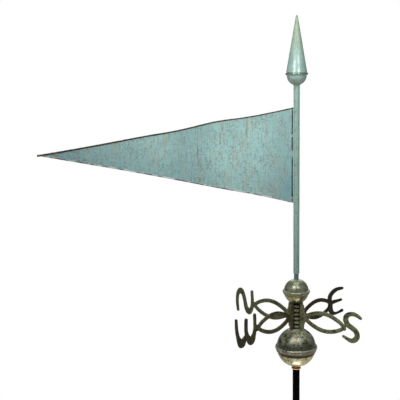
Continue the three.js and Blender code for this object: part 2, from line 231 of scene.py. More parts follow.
def buildSpecks():
    g = Group("darkSpecks", "Mask", scale=300.0, amount=0.3, gather=0.5)
    scale, amount, gather = g.given
    ragged = g.grain(g.place, g.times(scale, 1.7))["Color"]
    middle = g.put("ShaderNodeVectorMath", {0: ragged, 1: (0.5, 0.5, 0.5)}, operation="SUBTRACT").outputs[0]
    push = {0: middle, "Scale": g.calc("DIVIDE", 0.9, scale)}
    push = g.put("ShaderNodeVectorMath", push, operation="SCALE").outputs[0]
    torn = g.put("ShaderNodeVectorMath", {0: g.place, 1: push}, operation="ADD").outputs[0]
    cells = g.put("ShaderNodeTexVoronoi", {"Vector": torn, "Scale": scale}).outputs
    chance, size, unused = g.put("ShaderNodeSeparateColor", {"Color": cells["Color"]}).outputs
    wide = g.grain(g.place, g.times(scale, 0.14))["Fac"]
    share = g.calc("MULTIPLY_ADD", g.less(wide, 0.5), gather, amount)
    chosen = g.fade(chance, g.add(share, 0.04), g.less(share, 0.04))
    reach = g.calc("MULTIPLY_ADD", size, 0.36, 0.22)
    return g.finish(g.times(chosen, g.fade(cells["Distance"], reach, g.times(reach, 0.7))))


def buildStreaks():
    g = Group("rainStreaks", "Mask", scale=200.0, length=16.0, amount=0.4)
    scale, length, amount = g.given
    x, y, z = g.put("ShaderNodeSeparateXYZ", {"Vector": g.place}).outputs
    run = g.put("ShaderNodeCombineXYZ", {"X": x, "Y": y, "Z": g.calc("DIVIDE", z, length)}).outputs[0]
    edge = g.less(0.78, g.times(amount, 0.4))
    return g.finish(g.fade(g.grain(run, scale, 3.0, 0.55)["Fac"], edge, g.add(edge, 0.16)))


def buildPitting():
    g = Group("metalPitting", "Height", scale=400.0, pits=0.4)
    scale, pits = g.given
    grain = g.grain(g.place, scale, 4.0, 0.6)["Fac"]
    cells = g.put("ShaderNodeTexVoronoi", {"Vector": g.place, "Scale": g.times(scale, 0.45)}).outputs
    return g.finish(g.add(grain, g.times(g.fade(cells["Distance"], 0.0, 0.22, -1.0, 0.0), pits)))


def buildRubbed():
    g = Group("rubbedEdges", "Mask", pointiness=0.5, start=0.52, width=0.06, breaks=0.5)
    pointiness, start, width, breaks = g.given
    ridge = g.fade(pointiness, start, g.add(start, width))
    patchy = g.grain(g.place, 120.0, 3.0)["Fac"]
    return g.finish(g.times(ridge, g.fade(patchy, g.less(breaks, 0.1), g.add(breaks, 0.1))))


clouds = buildClouds()
specks = buildSpecks()
streaks = buildStreaks()
pitting = buildPitting()
rubbed = buildRubbed()
print("shader groups built")


# Materials

def paint(tone):
    # A colour in display values from 0 to 255, or one that is wired already
    if isinstance(tone, bpy.types.NodeSocket):
        return tone
    shares = [value / 255 for value in tone]
    return (*(c / 12.92 if c <= 0.04045 else ((c + 0.055) / 1.055) ** 2.4 for c in shares), 1.0)


class Finish(Wiring):
    # One material being wired: its coordinates, its colour so far and its Principled shader
    def __init__(self, name, base, heading=0.0):
        self.material = bpy.data.materials.new(name)
        self.material.use_nodes = True
        super().__init__(self.material.node_tree)
        self.shader = self.tree.nodes["Principled BSDF"]
        self.colour = base
        self.place = self.put("ShaderNodeTexCoord").outputs["Object"]
        if heading:
            turn = {"Vector": self.place, "Angle": -math.radians(heading)}
            self.place = self.put("ShaderNodeVectorRotate", turn, rotation_type="Z_AXIS").outputs[0]
        self.x, self.y, self.z = self.put("ShaderNodeSeparateXYZ", {"Vector": self.place}).outputs
        self.radius = self.calc("SQRT", self.add(self.times(self.x, self.x), self.times(self.y, self.y)))
        surface = self.put("ShaderNodeNewGeometry").outputs
        self.pointiness = surface["Pointiness"]
        # One on top, none on an upright side, less than none underneath
        self.steepness = self.put("ShaderNodeSeparateXYZ", {"Vector": surface["Normal"]}).outputs["Z"]

    def mask(self, group, **sockets):
        labels = {key.capitalize(): value for key, value in sockets.items()}
        return self.put("ShaderNodeGroup", {"Vector": self.place, **labels}, node_tree=group).outputs[0]

    def blend(self, share, a, b):
        sockets = {0: share, 6: paint(a), 7: paint(b)}
        return self.put("ShaderNodeMix", sockets, data_type="RGBA").outputs[2]

    def lay(self, mask, tone, share=1.0):
        # Lays a tone over the colour so far where the mask is, at a share of full strength
        self.colour = self.blend(self.times(mask, share) if share < 1 else mask, self.colour, tone)

    def patch(self, centre, reach):
        # One at a point on the piece, in millimetres, fading to nothing at the reach
        spot = self.put("ShaderNodeVectorMath", {0: self.place, 1: Vector(centre) * mm}, operation="DISTANCE")
        return self.fade(spot.outputs["Value"], reach * mm, reach * 0.15 * mm)

    def wire(self, roughness, metallic, height, bump, **fixed):
        joins = {"Base Color": self.colour, "Roughness": roughness, "Metallic": metallic}
        for label, value in joins.items():
            if isinstance(value, bpy.types.NodeSocket):
                self.tree.links.new(value, self.shader.inputs[label])
            else:
                self.shader.inputs[label].default_value = value
        relief = self.put("ShaderNodeBump", {"Height": height, "Strength": 1.0, "Distance": bump * mm})
        self.tree.links.new(relief.outputs["Normal"], self.shader.inputs["Normal"])
        for label, value in fixed.items():
            self.shader.inputs[label.replace("_", " ")].default_value = value
        return self.material


sheetLook = {
    "light": (172, 214, 210), "middle": (158, 200, 197), "deep": (116, 160, 164),
    "bare": (152, 162, 146), "olive": (184, 166, 124), "brown": (146, 110, 72),
    "grey": (92, 112, 126), "speck": (52, 60, 72), "tipShade": (94, 122, 124),
    "metal": 0.15, "rough": (0.5, 0.68), "bump": 0.3,
}


def sheetMaterial():
    look = sheetLook
    f = Finish("verdigrisSheet", look["middle"], vaneHeading)
    f.lay(f.mask(clouds, scale=9.0, balance=0.5, softness=0.2), look["light"])
    f.lay(f.mask(clouds, scale=22.0, balance=0.56, softness=0.12), look["bare"], 0.28)
    # Painted shade: darker towards the tip, along the lower edge and in the hoist's lower corner. Darker also
    # in a belt across
    tip = f.fade(f.x, 0.36, 0.69)
    f.lay(tip, look["tipShade"], 0.5)
    f.lay(f.fade(f.x, 0.3, 0.42), look["deep"], 0.22)
    f.lay(f.fade(f.add(f.z, f.times(f.x, -0.185)), 0.7, 0.62), look["deep"], 0.3)
    f.lay(f.times(f.fade(f.x, 0.14, 0.01), f.fade(f.z, 0.8, 0.62, 0.35, 1.0)), look["deep"], 0.85)
    f.lay(f.times(f.fade(f.x, 0.19, 0.26), f.fade(f.x, 0.38, 0.3)), look["deep"], 0.5)

    bands = f.mask(streaks, scale=34.0, length=30.0, amount=0.66)
    brushed = f.mask(streaks, scale=210.0, length=14.0, amount=0.76)
    share = f.times(brushed, f.add(f.times(bands, 0.55), 0.2))
    f.lay(f.times(share, f.fade(f.x, 0.24, 0.4, 1.0, 0.68)), look["olive"])
    thin = f.mask(streaks, scale=280.0, length=18.0, amount=0.52)
    f.lay(f.times(thin, f.fade(f.x, 0.3, 0.5, 0.72, 0.42)), look["brown"])
    f.lay(f.mask(streaks, scale=250.0, length=5.0, amount=0.6), look["grey"], 0.42)
    gather = f.mask(clouds, scale=26.0, balance=0.5, softness=0.14)
    grain = f.mask(clouds, scale=230.0, balance=0.56, softness=0.05)
    share = f.times(grain, f.add(f.times(gather, 0.42), 0.12))
    f.lay(f.calc("MULTIPLY", share, f.add(f.times(tip, 1.2), 1.0), clamp=True), look["grey"])
    rusty = f.mask(clouds, scale=100.0, balance=0.58, softness=0.07)
    f.lay(f.times(rusty, f.add(f.times(tip, 0.15), 0.18)), look["brown"])
    marks = f.mask(specks, scale=280.0, amount=0.08, gather=1.3)
    f.lay(marks, look["speck"], 0.3)
    height = f.add(f.mask(pitting, scale=260.0, pits=0.3), f.times(marks, -0.5))
    return f.wire(f.fade(grain, 0.0, 1.0, *look["rough"]), look["metal"], height, look["bump"])


# Dark and light by turns along the edge, with the flat colour on its upper and lower sides as painted light:
# a highlight along the top hem, light on the underside of the lower hem
edgeLooks = {
    "darkTopHem": {"dark": (24, 26, 26), "light": (112, 142, 140), "flat": (156, 136, 104),
                   "lightShare": 0.26},
    "brokenLowHem": {"dark": (46, 60, 82), "light": (150, 188, 184), "flat": (232, 204, 180),
                     "lightShare": 0.5},
    "hoistSeam": {"dark": (46, 60, 82), "light": (150, 188, 184), "flat": (156, 136, 104),
                  "lightShare": 0.44},
}


def edgeMaterial(name):
    look = edgeLooks[name]
    f = Finish(name, look["dark"], vaneHeading)
    patch = f.mask(clouds, scale=34.0, balance=1 - look["lightShare"], softness=0.04)
    f.lay(patch, look["light"])
    # Painted light on the faces that look up or down, laid in patches
    glint = f.mask(clouds, scale=60.0, balance=0.5, softness=0.08)
    flatSide = f.fade(f.calc("ABSOLUTE", f.steepness), 0.35, 0.95)
    f.lay(f.times(f.fade(glint, 0.0, 1.0, 0.25, 1.0), flatSide), look["flat"])
    return f.wire(f.fade(patch, 0.0, 1.0, 0.42, 0.6), 0.2, f.mask(pitting, scale=500.0, pits=0.5), 0.25)


rodLook = {
    "top": (172, 208, 196), "middle": (154, 188, 172), "foot": (132, 160, 154),
    "olive": (104, 104, 72), "speck": (50, 60, 62), "metal": 0.25, "rough": (0.28, 0.44), "bump": 0.3,
}


def rodMaterial():
    look = rodLook
    f = Finish("verdigrisTube", look["middle"], vaneHeading)
    f.lay(f.fade(f.z, 0.62, 0.92), look["top"])
    f.lay(f.fade(f.z, 0.6, 0.42), look["foot"])
    f.lay(f.mask(clouds, scale=60.0, balance=0.52, softness=0.14), look["foot"], 0.35)
    run = f.mask(streaks, scale=220.0, length=20.0, amount=0.4)
    f.lay(run, look["olive"], 0.5)
    f.lay(f.mask(specks, scale=260.0, amount=0.25, gather=0.9), look["speck"], 0.6)
    height = f.mask(pitting, scale=300.0, pits=0.3)
    return f.wire(f.fade(run, 0.0, 1.0, *look["rough"]), look["metal"], height, look["bump"])


spireLook = {
    "green": (162, 184, 160), "blue": (164, 196, 190), "deep": (108, 130, 112),
    "brass": (104, 104, 70), "brown": (120, 104, 70), "rimLow": 0.9387, "metal": 0.1,
    "gleam": (1.0, 0.92, 0.86, 1.0), "bump": 0.1,
}


def spireMaterial(name, grimeAndShade):
    look = spireLook
    f = Finish(name, look["blue"], vaneHeading)
    ragged = f.mask(clouds, scale=18.0, balance=0.5, softness=0.3)
    drift = f.add(f.z, f.times(ragged, 0.05))
    f.lay(f.fade(drift, 0.99, 1.07), look["green"])
    fine = f.mask(clouds, scale=85.0, balance=0.55, softness=0.16)
    f.lay(fine, look["deep"], 0.4)
    f.lay(f.mask(streaks, scale=150.0, length=9.0, amount=0.35), look["brown"], 0.35)
    f.lay(f.mask(specks, scale=420.0, amount=0.2, gather=0.8), look["deep"], 0.5)
    rim = f.times(f.fade(f.radius, 0.0268, 0.0278), f.fade(f.z, look["rimLow"], 0.9425))
    f.lay(rim, look["brass"], 0.75)
    # Painted shade: browner stained patches and a deeper tone on the faces that look down, most on the bowl;
    # the stains are partly real
    stain = f.mask(clouds, scale=46.0, balance=0.5, softness=0.1)
    low = f.fade(f.steepness, 0.0, -0.75, 0.35, 1.0)
    f.lay(f.times(stain, low), look["brown"], grimeAndShade)
    f.lay(low, look["deep"], grimeAndShade * 0.45)
    shine = f.add(f.times(rim, 0.4), look["metal"])
    dull = f.add(f.fade(fine, 0.0, 1.0, 0.22, 0.34), f.fade(drift, 0.985, 1.02, 0.0, 0.34))
    height = f.mask(pitting, scale=320.0, pits=0.25)
    return f.wire(dull, shine, height, look["bump"], Specular_Tint=look["gleam"])


def ballMaterial(look):
    f = Finish(look["name"], look["dark"])
    up = f.less(f.z, look["middle"] * mm)

    def above(start, end):
        # From nothing at one height over the ball's middle to full at another, in millimetres
        return f.fade(up, start * mm, end * mm)

    mottle = f.mask(clouds, scale=look["mottle"], balance=0.5, softness=0.13)
    f.lay(mottle, look["main"])
    mint = f.mask(clouds, scale=look["mottle"] * 2.4, balance=0.55, softness=0.07)
    f.lay(mint, look["mint"], look["mintShare"])
    rust = f.mask(clouds, scale=look["mottle"] * 1.3, balance=0.6, softness=0.06)
    f.lay(rust, look["rust"], look["rustShare"])
    # Painted light: the faces that look up turn paler, as lit from above
    litTop = f.fade(f.steepness, 0.72, 0.97, 0.0, 0.6)
    f.lay(f.times(litTop, f.fade(mottle, 0.0, 1.0, 0.5, 1.0)), look["litTop"])
    # A dark band above the bead: silt gathered there, and painted shade for the ball's darker sides
    f.lay(above(look["siltAndShadeTop"], look["siltAndShadeLow"]), look["speck"], look["siltAndShadeShare"])
    # Painted light: the bead is paler along its crest
    bead = f.fade(f.radius, look["beadIn"] * mm, look["beadOut"] * mm)
    f.lay(bead, look["bead"], 0.85)
    # Painted shade below the bead's ridge
    under = f.times(bead, above(look["ridge"], look["ridge"] - 1.6))
    f.lay(under, f.blend(mint, look["under"], look["main"]), 0.85)
    # Painted highlight: a golden line along the lip
    f.lay(above(look["lipTop"] + 0.5, look["lipTop"] - 0.3), look["lip"], 0.85)
    low = above(look["lipLow"], look["lipLow"] - 1.2)
    cup = f.blend(mottle, look["goldDeep"], look["gold"])
    # Painted highlight: a bright patch at one point low on the cup
    glint = f.times(f.patch(look["glintAt"], look["glintSize"]), 0.9)
    f.lay(low, f.blend(glint, cup, look["glintTone"]))
    marks = f.mask(specks, scale=look["speckScale"], amount=look["speckAmount"], gather=0.9)
    f.lay(marks, look["speck"], 0.85)
    # Painted shadow: black beneath the lip, over the top of the cup
    crease = f.times(above(look["creaseTop"], look["creaseTop"] - 0.8),
                     above(look["creaseLow"], look["creaseLow"] + 2.2))
    f.lay(f.times(crease, f.fade(mottle, 0.0, 1.0, 1.0, 0.94)), look["lipShadow"])
    bare = f.times(low, f.less(1.0, marks))
    metallic = f.fade(bare, 0.0, 1.0, look["metal"], 0.7)
    roughness = f.fade(mottle, 0.0, 1.0, look["rough"], look["rough"] + 0.12)
    rings = f.times(f.calc("SINE", f.times(up, 5200.0)), 0.05)
    height = f.add(f.mask(pitting, scale=220.0, pits=0.3), rings)
    return f.wire(roughness, metallic, height, 0.05, Specular_IOR_Level=1.0, Specular_Tint=look["gleam"])


# Tones for the balls, several of them painted light and shade, as marked in ballMaterial
lowerBallLook = {
    "name": "agedLowerBall", "middle": 214.1, "mottle": 40.0,
    "siltAndShadeTop": 34.0, "siltAndShadeLow": 8.0, "siltAndShadeShare": 0.86,
    "litTop": (186, 190, 162), "dark": (72, 70, 52), "main": (136, 138, 112),
    "mint": (160, 180, 152), "mintShare": 0.6, "rust": (140, 124, 106), "rustShare": 0.25,
    "gold": (218, 210, 162), "goldDeep": (138, 132, 86),
    "glintAt": (-29.0, -30.5, 181.5), "glintSize": 18.0, "glintTone": (234, 222, 188),
    "beadIn": 54.2, "beadOut": 55.2, "bead": (172, 184, 158), "ridge": 2.6, "under": (78, 64, 42),
    "lip": (150, 126, 80), "lipTop": -5.4, "lipLow": -10.2,
    "speck": (22, 22, 14), "speckScale": 125.0, "speckAmount": 0.46,
    "lipShadow": (5, 4, 1), "creaseTop": -6.8, "creaseLow": -17.6,
    "metal": 0.12, "gleam": (1.0, 0.92, 0.8, 1.0), "rough": 0.22,
}
upperBallLook = {
    "name": "agedUpperBall", "middle": 368.2, "mottle": 42.0,
    "siltAndShadeTop": 17.0, "siltAndShadeLow": 4.0, "siltAndShadeShare": 0.2,
    "litTop": (164, 178, 154), "dark": (98, 104, 82), "main": (122, 130, 105),
    "mint": (142, 154, 124), "mintShare": 0.4, "rust": (150, 132, 112), "rustShare": 0.3,
    "gold": (168, 160, 104), "goldDeep": (96, 90, 50),
    "glintAt": (-18.6, -20.6, 350.2), "glintSize": 9.0, "glintTone": (255, 255, 220),
    "beadIn": 34.4, "beadOut": 35.2, "bead": (132, 138, 108), "ridge": 0.6, "under": (92, 90, 62),
    "lip": (136, 130, 84), "lipTop": -2.9, "lipLow": -6.6,
    "speck": (36, 36, 20), "speckScale": 220.0, "speckAmount": 0.14,
    "lipShadow": (16, 14, 6), "creaseTop": -5.6, "creaseLow": -9.4,
    "metal": 0.12, "gleam": (1.0, 0.93, 0.86, 1.0), "rough": 0.16,
}
castLook = {
    "dark": (26, 22, 9), "olive": (82, 81, 57), "brown": (64, 50, 24), "rub": (128, 128, 98),
    "ring": (148, 140, 122), "core": (8, 7, 5), "gleam": (1.0, 0.9, 0.66, 1.0),
}
# Along is the axis of the two arms, darkEnd how much darker the far one is, letters how dark the letters are
greenCastLook = {
    "name": "castGreen", "greenness": 0.6, "share": 0.85, "green": (114, 122, 88), "along": "y",
    "darkEnd": 0.35, "letters": 0.15,
}
darkCastLook = {
    "name": "castDark", "greenness": 0.5, "share": 0.65, "green": (98, 96, 62), "along": "x",
    "darkEnd": 0.8, "letters": 0.65,
}


def castMaterial(look):
    tones = castLook
    f = Finish(look["name"], tones["dark"])
    f.lay(f.mask(clouds, scale=34.0, balance=0.5, softness=0.1), tones["olive"])
    green = f.mask(clouds, scale=50.0, balance=1 - look["greenness"], softness=0.1)
    f.lay(green, look["green"], look["share"])
    f.lay(f.mask(clouds, scale=90.0, balance=0.58, softness=0.08), tones["brown"], 0.65)
    f.lay(f.mask(rubbed, pointiness=f.pointiness, start=0.51, width=0.05, breaks=0.42), tones["rub"], 0.5)
    f.lay(f.fade({"x": f.x, "y": f.y}[look["along"]], -0.01, 0.1), tones["dark"], look["darkEnd"])
    patchy = f.mask(clouds, scale=70.0, balance=0.4, softness=0.12)
    f.lay(f.times(f.fade(f.radius, 0.14, 0.19), patchy), tones["dark"], look["letters"])
    f.lay(f.times(f.fade(f.radius, 0.03, 0.042), f.fade(f.radius, 0.085, 0.06)), tones["brown"], 0.38)
    # Darker in the hollows: dirt gathered there, and painted shade
    f.lay(f.fade(f.pointiness, 0.49, 0.44), tones["dark"], 0.8)
    f.lay(f.mask(specks, scale=210.0, amount=0.36, gather=0.8), tones["dark"], 0.8)
    # The stack of rings takes a lighter tone in broken patches, part wear and part painted highlight; painted
    # shade darkens the pockets beside the plates and the grooves down to the bore
    chippedSheen = f.mask(clouds, scale=240.0, balance=0.5, softness=0.12)
    f.lay(f.times(f.fade(f.radius, 0.016, 0.0145), f.fade(chippedSheen, 0.0, 1.0, 0.12, 0.58)), tones["ring"])
    beside = f.calc("MINIMUM", f.calc("ABSOLUTE", f.x), f.calc("ABSOLUTE", f.y))
    f.lay(f.times(f.fade(beside, 0.0064, 0.0038), f.fade(f.radius, 0.0155, 0.0145)), tones["core"], 0.9)
    f.lay(f.fade(f.radius, 0.0136, 0.0122), tones["core"], 0.95)
    roughness = f.fade(green, 0.0, 1.0, 0.46, 0.62)
    height = f.mask(pitting, scale=420.0, pits=0.5)
    return f.wire(roughness, 0.3, height, 0.35, Specular_Tint=tones["gleam"])


spindleLook = {
    "bright": (106, 134, 134), "dull": (60, 76, 76), "speck": (40, 46, 46), "low": (14, 13, 10),
}


def spindleMaterial():
    look = spindleLook
    f = Finish("greySpindle", look["bright"])
    run = f.mask(streaks, scale=260.0, length=8.0, amount=0.5)
    f.lay(run, look["dull"])
    f.lay(f.mask(specks, scale=380.0, amount=0.3, gather=0.6), look["speck"], 0.7)
    # Painted shade: near black from just below the upper ball down, inside the hub
    f.lay(f.fade(f.z, 0.352, 0.338), look["low"], 0.92)
    return f.wire(f.fade(run, 0.0, 1.0, 0.3, 0.5), 0.6, f.mask(pitting, scale=420.0, pits=0.3), 0.2)


copperLook = {
    "bright": (252, 200, 148), "tarnish": (190, 112, 52), "speck": (70, 40, 22),
    "above": (120, 78, 38),
}


def copperMaterial():
    look = copperLook
    f = Finish("brightCopper", look["bright"])
    tarnish = f.mask(clouds, scale=120.0, balance=0.6, softness=0.1)
    f.lay(tarnish, look["tarnish"])
    f.lay(f.mask(specks, scale=500.0, amount=0.25, gather=0.6), look["speck"], 0.6)
    # Painted shade: darker brown on the flange's top face and the neck, in the shadow of the ball above
    f.lay(f.fade(f.z, 0.1557, 0.1566), look["above"], 0.85)
    roughness = f.fade(tarnish, 0.0, 1.0, 0.22, 0.4)
    return f.wire(roughness, 0.85, f.mask(pitting, scale=500.0, pits=0.2), 0.08)


enamelLook = {"black": (1, 1, 1), "dust": (3, 2, 2), "scuff": (22, 20, 18), "gloss": 0.03}


def enamelMaterial():
    look = enamelLook
    f = Finish("blackEnamel", look["black"])
    dust = f.mask(clouds, scale=55.0, balance=0.6, softness=0.12)
    f.lay(dust, look["dust"])
    f.lay(f.mask(streaks, scale=500.0, length=14.0, amount=0.12), look["scuff"], 0.4)
    roughness = f.fade(dust, 0.0, 1.0, 0.3, 0.45)
    height = f.mask(pitting, scale=300.0, pits=0.05)
    return f.wire(roughness, 0.0, height, 0.08, Specular_IOR_Level=look["gloss"])


# Mast, collar and spindle

mastSizes = {"radius": 9.525, "height": 153.0, "socket": 108.0, "bore": 6.65, "ease": 1.0, "sides": 64}


def makeMast():
    s = mastSizes
    outline = [(0, 0), (s["radius"], 0), (s["radius"], s["height"]), (s["bore"], s["height"]),
               (s["bore"], s["socket"]), (0, s["socket"])]
    rings = easeCorners(outline, s["ease"], 4)
    mast = spin("mastRod", rings, s["sides"])
    fitPiece(mast, "base", "black_steel", enamelMaterial(), "mast")


collarSizes = {
    "base": 153.3, "flangeRadius": 12.9, "flangeHeight": 3.5, "neckRadius": 8.9, "neckHeight": 3.8,
    "bore": 6.65, "ease": 1.0, "sides": 72,
}


def makeCollar():
    s = collarSizes
    base = s["base"]
    step = base + s["flangeHeight"]
    top = step + s["neckHeight"]
    outline = [
        (s["bore"], base), (s["flangeRadius"], base), (s["flangeRadius"], step - 0.3),
        (s["neckRadius"] + 0.8, step), (s["neckRadius"], step + 0.8),
        (s["neckRadius"], top), (s["bore"], top),
    ]
    collar = spin("collarBush", easeCorners(outline, s["ease"], 4), s["sides"])
    fitPiece(collar, "base", "bright_copper", copperMaterial(), "collar")


spindleSizes = {"radius": 6.35, "base": 108.3, "top": 945.4, "sides": 40}


def makeSpindle():
    s = spindleSizes
    outline = [(0, s["base"]), (s["radius"], s["base"])]
    outline += arcPoints(s["radius"], s["top"] - s["radius"], 0, 90, 8)
    outline[-1] = (0, s["top"])
    spindle = spin("spindleRod", outline, s["sides"])
    fitPiece(spindle, "base", "grey_steel", spindleMaterial(), "spindle")


# Spun balls

lowerBallSizes = {
    "name": "lowerBall", "middle": 214.1, "radius": 52.4, "skirt": 1.6, "beadTop": 5.2, "beadHeight": 11.3,
    "beadStand": 4.1, "lipStand": 1.4, "lipDrop": 10.4, "sides": 144,
}
upperBallSizes = {
    "name": "upperBall", "middle": 368.2, "radius": 33.1, "skirt": 0.8, "beadTop": 3.8, "beadHeight": 7.5,
    "beadStand": 3.6, "lipStand": 1.3, "lipDrop": 6.7, "sides": 112,
}
sheetWall = 1.0
ballBore = 6.65
touchGap = 0.3


def makeBall(s, material, lowNode, topNode):
    outer = s["radius"]
    inner = outer - sheetWall
    boreAngle = math.degrees(math.acos(ballBore / outer))
    innerAngle = math.degrees(math.acos(ballBore / inner))
    lowCentre = s["middle"] - s["skirt"] / 2
    rim = s["middle"] - touchGap
    outline = arcPoints(outer, lowCentre, -boreAngle, 0, 30) + [(outer, rim), (inner, rim)]
    outline += arcPoints(inner, lowCentre, 0, -innerAngle, 12)
    low = spin(s["name"] + "LowCup", outline, s["sides"])
    handWork(low, 0.25, 28, 3.1)
    fitPiece(low, "base", "aged_copper", material, lowNode)

    topCentre = s["middle"] + s["skirt"] / 2
    beadTop = s["middle"] + s["beadTop"]
    beadMiddle = beadTop - s["beadHeight"] / 2
    lipEnd = s["middle"] - s["lipDrop"]
    sphereEnd = math.degrees(math.asin((beadTop - topCentre) / outer))
    lipOut = outer + s["lipStand"]
    beadEnd = math.degrees(math.asin(s["lipStand"] / s["beadStand"]))
    outline = [(outer + touchGap, lipEnd + 0.5), (outer + 0.8, lipEnd), (lipOut - 0.4, lipEnd),
               (lipOut, lipEnd + 0.6)]
    for step in range(15):
        angle = math.radians(-90 + beadEnd + (180 - beadEnd - 8) * step / 14)
        stand = s["beadStand"] * math.cos(angle)
        outline.append((outer + stand, beadMiddle + s["beadHeight"] / 2 * math.sin(angle)))
    outline += arcPoints(outer, topCentre, sphereEnd + 0.5, boreAngle, 32)
    outline += arcPoints(inner, topCentre, innerAngle, 0, 12)
    outline += [(inner, s["middle"]), (outer + touchGap, s["middle"])]
    top = spin(s["name"] + "TopCup", outline, s["sides"])
    handWork(top, 0.3, 24, 7.7)
    fitPiece(top, "base", "aged_copper", material, topNode)


# Compass castings

castSizes = {
    "middle": 301.0, "hubHeight": 66.8, "thickness": 5.5, "rootReach": 25.0, "levels": 6, "bore": 6.65,
    "ringReach": 13.65, "armStart": 33.0, "armEnd": 149.0, "barHeight": 9.6, "spread": 19.7, "join": 1.5,
    "rootRun": 8.0, "bend": 0.85, "sweep": 15.4, "letterHeight": 80.0, "groove": 4.4, "voxel": 0.72,
    "swell": 0.45, "rootSwell": 1.5, "ringEase": 1.6, "ringSides": 48,
}
letterRun = {"north": 8.0, "east": 2.0, "south": 3.0, "west": 9.0}
letterLift = {"north": 0.0, "east": 0.0, "south": 1.8, "west": 1.2}
openingEnd = {"north": 149.0, "east": 149.0, "south": 156.0, "west": 149.0}
# Pen strokes in shares of the letter height: out from the end of the arm, up, and width
letterStrokes = {
    "north": [
        [(0.163, 0.45, 0.1), (0.144, 0.19, 0.11), (0.15, -0.02, 0.125), (0.194, -0.18, 0.15),
         (0.312, -0.278, 0.235), (0.437, -0.175, 0.165), (0.487, 0, 0.14), (0.537, 0.175, 0.14),
         (0.6, 0.325, 0.155), (0.706, 0.398, 0.22), (0.82, 0.312, 0.145), (0.869, 0.15, 0.11),
         (0.878, -0.037, 0.105), (0.862, -0.187, 0.095), (0.837, -0.325, 0.085)],
    ],
    "east": [
        [(0.65, 0.468, 0.09), (0.488, 0.483, 0.11), (0.288, 0.475, 0.14), (0.1, 0.412, 0.165),
         (-0.038, 0.3, 0.19), (-0.063, 0.15, 0.21), (-0.012, 0.025, 0.22)],
        [(-0.012, 0.05, 0.22), (-0.025, -0.1, 0.23), (0.03, -0.25, 0.2), (0.15, -0.35, 0.125),
         (0.325, -0.375, 0.08), (0.512, -0.362, 0.08), (0.65, -0.345, 0.105)],
        [(0, 0.05, 0.15), (0.2, 0.062, 0.12), (0.388, 0.06, 0.1), (0.588, 0.06, 0.08)],
    ],
    "south": [
        [(0.75, 0.4, 0.075), (0.638, 0.456, 0.11), (0.488, 0.488, 0.125), (0.325, 0.456, 0.14),
         (0.2, 0.362, 0.165), (0.175, 0.237, 0.185), (0.263, 0.1, 0.175), (0.437, 0.025, 0.165),
         (0.588, -0.075, 0.175), (0.625, -0.212, 0.175), (0.538, -0.337, 0.165), (0.4, -0.394, 0.135),
         (0.237, -0.362, 0.1), (0.088, -0.312, 0.065)],
    ],
    "west": [
        [(0.187, 0.437, 0.1), (0.175, 0.187, 0.1), (0.175, 0, 0.11), (0.212, -0.175, 0.15),
         (0.35, -0.375, 0.28), (0.5, -0.24, 0.18), (0.575, -0.062, 0.13), (0.588, 0.125, 0.12),
         (0.581, 0.35, 0.11)],
        [(0.62, -0.2, 0.14), (0.788, -0.375, 0.28), (0.93, -0.187, 0.15), (0.988, 0, 0.11),
         (1.019, 0.187, 0.1), (1.031, 0.437, 0.08)],
    ],
}


def penBar(points, thickness, count, sides=20, square=3.4):
    # A bar of changing width with a rounded section, in the plane of its arm: x out, y across, z up
    line = smoothLine(points, count)
    stations = []
    for i, at in enumerate(line):
        way = (line[min(i + 1, count)].xy - line[max(i - 1, 0)].xy).normalized()
        stations.append((at.xy, way, at.z / 2, thickness / 2))
    for angle in (0.5, 1.0, 1.4):
        for end, sign in ((0, -1), (-1, 1)):
            place, way, half, deep = stations[0] if end == 0 else stations[-1]
            base = line[end].z / 2
            spot = line[end].xy + way * sign * base * math.sin(angle)
            cap = (spot, way, base * math.cos(angle), thickness / 2 * math.cos(angle) ** 0.35)
            stations.insert(0, cap) if end == 0 else stations.append(cap)
    verts = []
    for place, way, half, deep in stations:
        for k in range(sides):
            c = math.cos(math.tau * k / sides)
            d = math.sin(math.tau * k / sides)
            out = half * math.copysign(abs(c) ** (2 / square), c)
            across = deep * math.copysign(abs(d) ** (2 / square), d)
            verts.append((place.x - way.y * out, across, place.y + way.x * out))
    return verts, capTube(len(stations), sides)


def slab(outline, thickness):
    # A flat plate in the plane of its arm
    count = len(outline)
    verts = [(x, -thickness / 2, z) for x, z in outline] + [(x, thickness / 2, z) for x, z in outline]
    faces = [list(range(count)), list(range(2 * count - 1, count - 1, -1))]
    for i in range(count):
        j = (i + 1) % count
        faces.append([i, i + count, j + count, j])
    return verts, faces


def armBar(letter, side):
    s = castSizes
    low = s["barHeight"] / 2 - s["join"]
    end = openingEnd[letter]
    points = [(s["armStart"] - s["rootRun"], side * low, s["barHeight"] + s["rootSwell"])]
    for step in range(13):
        rise = s["spread"] * math.sin(math.pi * step / 12) ** s["bend"]
        points.append((s["armStart"] + (end - s["armStart"]) * step / 12, side * (low + rise),
                       s["barHeight"] + s["rootSwell"] * (1 - step / 12)))
    points.append((end + letterRun[letter], side * low, s["barHeight"]))
    return penBar(points, s["thickness"], 60)


def rootOutline():
    s = castSizes
    half = s["hubHeight"] / 2
    inner = s["ringReach"] + touchGap
    corner, edge = s["rootReach"], s["armStart"]
    outline = [(inner, half), (inner, -half), (corner, -half)]
    swept = []
    for step in range(1, 11):
        t = step / 10
        x = corner * (1 - t ** 2) + edge * t ** 2
        z = half * (1 - t) ** 2 + s["sweep"] * 2 * t * (1 - t) + s["barHeight"] * t ** 2
        swept.append((x, z))
    outline += [(x, -z) for x, z in swept] + [(x, z) for x, z in reversed(swept)] + [(corner, half)]
    return outline


